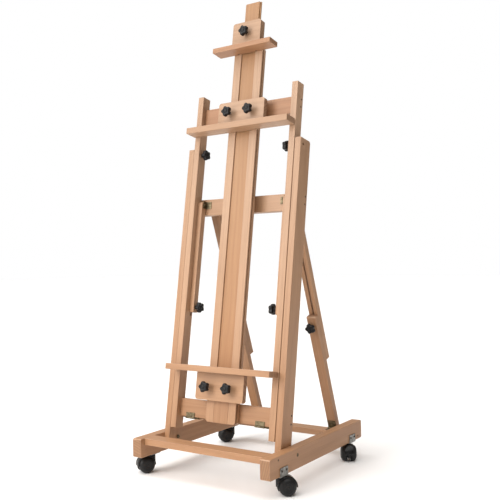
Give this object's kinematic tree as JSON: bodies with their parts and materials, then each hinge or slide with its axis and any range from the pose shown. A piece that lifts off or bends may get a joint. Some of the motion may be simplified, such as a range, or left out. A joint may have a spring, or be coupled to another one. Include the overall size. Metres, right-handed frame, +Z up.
{
  "type": "artist easel",
  "caption": "Wooden studio easel on castors: H-frame with a tilting inner frame, sliding mast, canvas tray, upper holder, top clamp and telescopic rear struts.",
  "frame": {"origin": "on the floor at the middle of the base", "axes": "+X to the right, +Y to the back, +Z up; the frame leans back towards +Y"},
  "size_m": [0.6815, 0.7, 1.8222],
  "materials": {
    "wood": "satin",
    "warm_wood": "satin",
    "knob_plastic": "satin",
    "caster_plastic": "gloss",
    "zinc": "satin",
    "dark_steel": "satin",
    "brass": "satin"
  },
  "bodies": {
    "base": {"skid_left": "wood", "skid_right": "wood", "front_board": "wood", "rear_board": "wood", "base_fasteners": "dark_steel", "caster_plates": "zinc", "foot_hinge_leaves": "brass"},
    "outer_frame": {"post_left": "wood", "post_right": "wood", "middle_bar": "wood", "rear_low_bar": "wood", "frame_fasteners": "dark_steel", "frame_hinges": "brass"},
    "inner_frame": {"rail_left": "wood", "rail_right": "wood", "upper_cross_bar": "wood", "lower_cross_bar": "wood", "inner_fasteners": "dark_steel", "tilt_hinge_leaves": "brass", "mast_strip_left": "wood", "mast_strip_right": "wood", "mast_back": "wood", "mast_foot_block": "wood"},
    "inner_mast": {"inner_mast": "warm_wood"},
    "top_clamp": {"clamp_block": "wood", "clamp_ledge": "wood", "clamp_screws": "dark_steel"},
    "clamp_knob": {"clamp_knob": "knob_plastic"},
    "upper_holder": {"upper_block": "wood", "upper_ledge": "wood", "upper_screws": "dark_steel"},
    "tray_holder": {"tray_block": "wood", "tray_ledge": "wood", "tray_screws": "dark_steel"},
    "stay_left": {"stay_left": "wood"},
    "stay_knob_left": {"stay_knob_left": "knob_plastic"},
    "lock_knob_left": {"lock_knob_left": "knob_plastic"},
    "upper_knob_left": {"upper_knob_left": "knob_plastic"},
    "tray_knob_left": {"tray_knob_left": "knob_plastic"},
    "strut_lower_left": {"strut_lower_left": "wood", "strut_foot_leaf_left": "brass"},
    "strut_upper_left": {"strut_upper_left": "wood"},
    "strut_knob_left": {"strut_knob_left": "knob_plastic"},
    "stay_right": {"stay_right": "wood"},
    "stay_knob_right": {"stay_knob_right": "knob_plastic"},
    "lock_knob_right": {"lock_knob_right": "knob_plastic"},
    "upper_knob_right": {"upper_knob_right": "knob_plastic"},
    "tray_knob_right": {"tray_knob_right": "knob_plastic"},
    "strut_lower_right": {"strut_lower_right": "wood", "strut_foot_leaf_right": "brass"},
    "strut_upper_right": {"strut_upper_right": "wood"},
    "strut_knob_right": {"strut_knob_right": "knob_plastic"},
    "caster_hood_front_right": {"caster_hood_front_right": "caster_plastic"},
    "caster_wheels_front_right": {"caster_wheels_front_right": "caster_plastic"},
    "caster_hood_front_left": {"caster_hood_front_left": "caster_plastic"},
    "caster_wheels_front_left": {"caster_wheels_front_left": "caster_plastic"},
    "caster_hood_rear_right": {"caster_hood_rear_right": "caster_plastic"},
    "caster_wheels_rear_right": {"caster_wheels_rear_right": "caster_plastic"},
    "caster_hood_rear_left": {"caster_hood_rear_left": "caster_plastic"},
    "caster_wheels_rear_left": {"caster_wheels_rear_left": "caster_plastic"}
  },
  "joints": [
    {"name": "lean", "type": "hinge", "parent": "base", "child": "outer_frame", "pos_m": [0, -0.16713, 0.11654], "axis": [-1, 0, 0], "range_deg": [-5, 5]},
    {"name": "tilt", "type": "hinge", "parent": "outer_frame", "child": "inner_frame", "pos_m": [0, -0.18712, 0.20082], "axis": [1, 0, 0], "range_deg": [0, 12]},
    {"name": "inner_mast_slide", "type": "slide", "parent": "inner_frame", "child": "inner_mast", "axis": [0, 0.1599, 0.9871], "range_m": [0, 0.5]},
    {"name": "top_clamp_slide", "type": "slide", "parent": "inner_mast", "child": "top_clamp", "axis": [0, 0.1599, 0.9871], "range_m": [-0.008, 0.088]},
    {"name": "clamp_knob_turn", "type": "hinge", "parent": "top_clamp", "child": "clamp_knob", "pos_m": [0, 0.00066, 1.69046], "axis": [0, -0.9871, 0.1599], "continuous": true},
    {"name": "upper_holder_slide", "type": "slide", "parent": "inner_frame", "child": "upper_holder", "axis": [0, 0.1599, 0.9871], "range_m": [-0.55, 0.2]},
    {"name": "tray_slide", "type": "slide", "parent": "inner_frame", "child": "tray_holder", "axis": [0, 0.1599, 0.9871], "range_m": [-0.05, 0.28]},
    {"name": "stay_left_swing", "type": "hinge", "parent": "outer_frame", "child": "stay_left", "pos_m": [-0.1982, -0.03769, 1.01896], "axis": [-1, 0, 0], "range_deg": [0, 13]},
    {"name": "stay_knob_left_turn", "type": "hinge", "parent": "stay_left", "child": "stay_knob_left", "pos_m": [-0.17, -0.1034, 0.61325], "axis": [1, 0, 0], "continuous": true},
    {"name": "lock_knob_left_turn", "type": "hinge", "parent": "outer_frame", "child": "lock_knob_left", "pos_m": [-0.186, -0.01951, 1.22065], "axis": [1, 0, 0], "continuous": true},
    {"name": "upper_knob_left_turn", "type": "hinge", "parent": "upper_holder", "child": "upper_knob_left", "pos_m": [-0.0485, -0.04636, 1.36885], "axis": [0, -0.9871, 0.1599], "continuous": true},
    {"name": "tray_knob_left_turn", "type": "hinge", "parent": "tray_holder", "child": "tray_knob_left", "pos_m": [-0.0485, -0.21456, 0.33038], "axis": [0, -0.9871, 0.1599], "continuous": true},
    {"name": "strut_left_swing", "type": "hinge", "parent": "base", "child": "strut_lower_left", "pos_m": [-0.184, 0.32, 0.098], "axis": [-1, 0, 0], "range_deg": [-4.2, 4.2]},
    {"name": "strut_left_slide", "type": "slide", "parent": "strut_lower_left", "child": "strut_upper_left", "axis": [0, -0.3434, 0.9392], "range_m": [-0.041, 0.041]},
    {"name": "strut_knob_left_turn", "type": "hinge", "parent": "strut_lower_left", "child": "strut_knob_left", "pos_m": [-0.184, 0.16678, 0.52876], "axis": [0, -0.9392, -0.3434], "continuous": true},
    {"name": "stay_right_swing", "type": "hinge", "parent": "outer_frame", "child": "stay_right", "pos_m": [0.1982, -0.03769, 1.01896], "axis": [-1, 0, 0], "range_deg": [0, 13]},
    {"name": "stay_knob_right_turn", "type": "hinge", "parent": "stay_right", "child": "stay_knob_right", "pos_m": [0.17, -0.1034, 0.61325], "axis": [-1, 0, 0], "continuous": true},
    {"name": "lock_knob_right_turn", "type": "hinge", "parent": "outer_frame", "child": "lock_knob_right", "pos_m": [0.186, -0.01951, 1.22065], "axis": [-1, 0, 0], "continuous": true},
    {"name": "upper_knob_right_turn", "type": "hinge", "parent": "upper_holder", "child": "upper_knob_right", "pos_m": [0.0485, -0.04636, 1.36885], "axis": [0, -0.9871, 0.1599], "continuous": true},
    {"name": "tray_knob_right_turn", "type": "hinge", "parent": "tray_holder", "child": "tray_knob_right", "pos_m": [0.0485, -0.21456, 0.33038], "axis": [0, -0.9871, 0.1599], "continuous": true},
    {"name": "strut_right_swing", "type": "hinge", "parent": "base", "child": "strut_lower_right", "pos_m": [0.184, 0.32, 0.098], "axis": [-1, 0, 0], "range_deg": [-4.2, 4.2]},
    {"name": "strut_right_slide", "type": "slide", "parent": "strut_lower_right", "child": "strut_upper_right", "axis": [0, -0.3434, 0.9392], "range_m": [-0.041, 0.041]},
    {"name": "strut_knob_right_turn", "type": "hinge", "parent": "strut_lower_right", "child": "strut_knob_right", "pos_m": [0.184, 0.16678, 0.52876], "axis": [0, -0.9392, -0.3434], "continuous": true},
    {"name": "swivel_front_right", "type": "hinge", "parent": "base", "child": "caster_hood_front_right", "pos_m": [0.2805, -0.263, 0.05], "axis": [0, 0, 1], "continuous": true},
    {"name": "roll_front_right", "type": "hinge", "parent": "caster_hood_front_right", "child": "caster_wheels_front_right", "pos_m": [0.29992, -0.24424, 0.031], "axis": [-0.6947, 0.7193, 0], "continuous": true},
    {"name": "swivel_front_left", "type": "hinge", "parent": "base", "child": "caster_hood_front_left", "pos_m": [-0.2805, -0.263, 0.05], "axis": [0, 0, 1], "continuous": true},
    {"name": "roll_front_left", "type": "hinge", "parent": "caster_hood_front_left", "child": "caster_wheels_front_left", "pos_m": [-0.294, -0.28638, 0.031], "axis": [0.866, -0.5, 0], "continuous": true},
    {"name": "swivel_rear_right", "type": "hinge", "parent": "base", "child": "caster_hood_rear_right", "pos_m": [0.2805, 0.263, 0.05], "axis": [0, 0, 1], "continuous": true},
    {"name": "roll_rear_right", "type": "hinge", "parent": "caster_hood_rear_right", "child": "caster_wheels_rear_right", "pos_m": [0.29481, 0.2401, 0.031], "axis": [0.848, 0.5299, 0], "continuous": true},
    {"name": "swivel_rear_left", "type": "hinge", "parent": "base", "child": "caster_hood_rear_left", "pos_m": [-0.2805, 0.263, 0.05], "axis": [0, 0, 1], "continuous": true},
    {"name": "roll_rear_left", "type": "hinge", "parent": "caster_hood_rear_left", "child": "caster_wheels_rear_left", "pos_m": [-0.30234, 0.24713, 0.031], "axis": [0.5878, -0.809, 0], "continuous": true}
  ],
  "couplings": [
    {"joint": "stay_left_swing", "follows": "tilt", "ratio": 1.06},
    {"joint": "strut_left_swing", "follows": "lean", "ratio": 0.8088},
    {"joint": "strut_left_slide", "follows": "lean", "m_per_rad": -0.459},
    {"joint": "stay_right_swing", "follows": "tilt", "ratio": 1.06},
    {"joint": "strut_right_swing", "follows": "lean", "ratio": 0.8088},
    {"joint": "strut_right_slide", "follows": "lean", "m_per_rad": -0.459}
  ]
}
